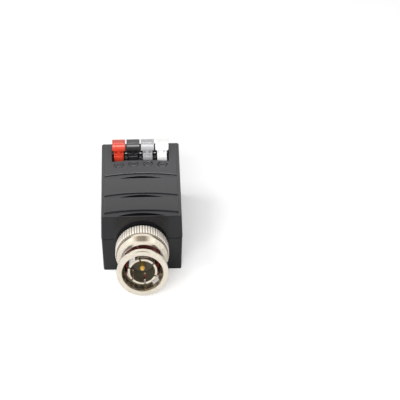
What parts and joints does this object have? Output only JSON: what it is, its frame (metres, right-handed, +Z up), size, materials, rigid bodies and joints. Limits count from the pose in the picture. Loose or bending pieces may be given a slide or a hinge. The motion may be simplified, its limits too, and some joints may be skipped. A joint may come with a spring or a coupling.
{
  "type": "video balun",
  "caption": "Small black housing with a bayonet video plug in front, coloured push levers for wires on top at the rear and a network socket in the rear face.",
  "frame": {"origin": "centre of the housing's flat underside, without the plug", "axes": "+Z up, -Y towards the tip of the plug, +X to the right seen from the plug"},
  "size_m": [0.0224, 0.0556, 0.0196],
  "materials": {
    "housing_plastic": "fine moulded satin",
    "board_laminate": "solder mask",
    "socket_plastic": "smooth moulded",
    "block_plastic": "smooth moulded",
    "bright_steel": "drawn bright",
    "nickel_plate": "bright nickel plating on brass",
    "insulator_plastic": "turned satin",
    "gold_plate": "bright gold plating",
    "contact_gold": "bright gold plating",
    "gasket_rubber": "soft satin",
    "spring_steel": "rolled strip",
    "tinned_copper": "tinned",
    "ferrite": "ground",
    "enamelled_copper": "enamelled",
    "arrester_ceramic": "glazed",
    "capacitor_can": "drawn",
    "fuse_coating": "dipped",
    "lever_plastic_red": "smooth moulded",
    "lever_plastic_black": "smooth moulded",
    "lever_plastic_grey": "smooth moulded",
    "lever_plastic_white": "smooth moulded"
  },
  "bodies": {
    "housing": {"housing_top": "housing_plastic", "housing_bottom": "housing_plastic", "circuit_board": "board_laminate", "network_socket": "socket_plastic", "terminal_block": "block_plastic", "lever_axle": "bright_steel", "plug_body": "nickel_plate", "plug_insulator": "insulator_plastic", "centre_pin": "gold_plate", "gasket": "gasket_rubber", "wave_spring": "spring_steel", "signal_lead": "tinned_copper", "ground_post": "tinned_copper", "balun_core": "ferrite", "balun_winding": "enamelled_copper", "surge_arrester": "arrester_ceramic", "capacitor": "capacitor_can", "fuse": "fuse_coating", "socket_contact_1": "contact_gold", "socket_contact_2": "contact_gold", "socket_contact_3": "contact_gold", "socket_contact_4": "contact_gold", "socket_contact_5": "contact_gold", "socket_contact_6": "contact_gold", "socket_contact_7": "contact_gold", "socket_contact_8": "contact_gold", "clamp_spring_1": "spring_steel", "clamp_spring_2": "spring_steel", "clamp_spring_3": "spring_steel", "clamp_spring_4": "spring_steel"},
    "lever_red": {"lever_red": "lever_plastic_red"},
    "lever_black": {"lever_black": "lever_plastic_black"},
    "lever_grey": {"lever_grey": "lever_plastic_grey"},
    "lever_white": {"lever_white": "lever_plastic_white"},
    "thrust_washer": {"thrust_washer": "spring_steel"},
    "coupling_nut": {"coupling_nut": "nickel_plate"}
  },
  "joints": [
    {"name": "push_red_lever", "type": "hinge", "parent": "housing", "child": "lever_red", "pos_m": [-0.00617, 0.0154, 0.0165], "axis": [-1, 0, 0], "range_deg": [0, 18], "stiffness_Nm_per_rad": 0.02, "springref_deg": -20.05},
    {"name": "push_black_lever", "type": "hinge", "parent": "housing", "child": "lever_black", "pos_m": [-0.00206, 0.0154, 0.0165], "axis": [-1, 0, 0], "range_deg": [0, 18], "stiffness_Nm_per_rad": 0.02, "springref_deg": -20.05},
    {"name": "push_grey_lever", "type": "hinge", "parent": "housing", "child": "lever_grey", "pos_m": [0.00206, 0.0154, 0.0165], "axis": [-1, 0, 0], "range_deg": [0, 18], "stiffness_Nm_per_rad": 0.02, "springref_deg": -20.05},
    {"name": "push_white_lever", "type": "hinge", "parent": "housing", "child": "lever_white", "pos_m": [0.00617, 0.0154, 0.0165], "axis": [-1, 0, 0], "range_deg": [0, 18], "stiffness_Nm_per_rad": 0.02, "springref_deg": -20.05},
    {"name": "pull_coupling_nut", "type": "slide", "parent": "housing", "child": "thrust_washer", "axis": [0, -1, 0], "range_m": [0, 0.0008], "stiffness_N_per_m": 2000, "springref_m": -0.0015, "deforming": ["wave_spring"]},
    {"name": "turn_coupling_nut", "type": "hinge", "parent": "thrust_washer", "child": "coupling_nut", "pos_m": [0, -0.028, 0.00765], "axis": [0, -1, 0], "continuous": true}
  ]
}
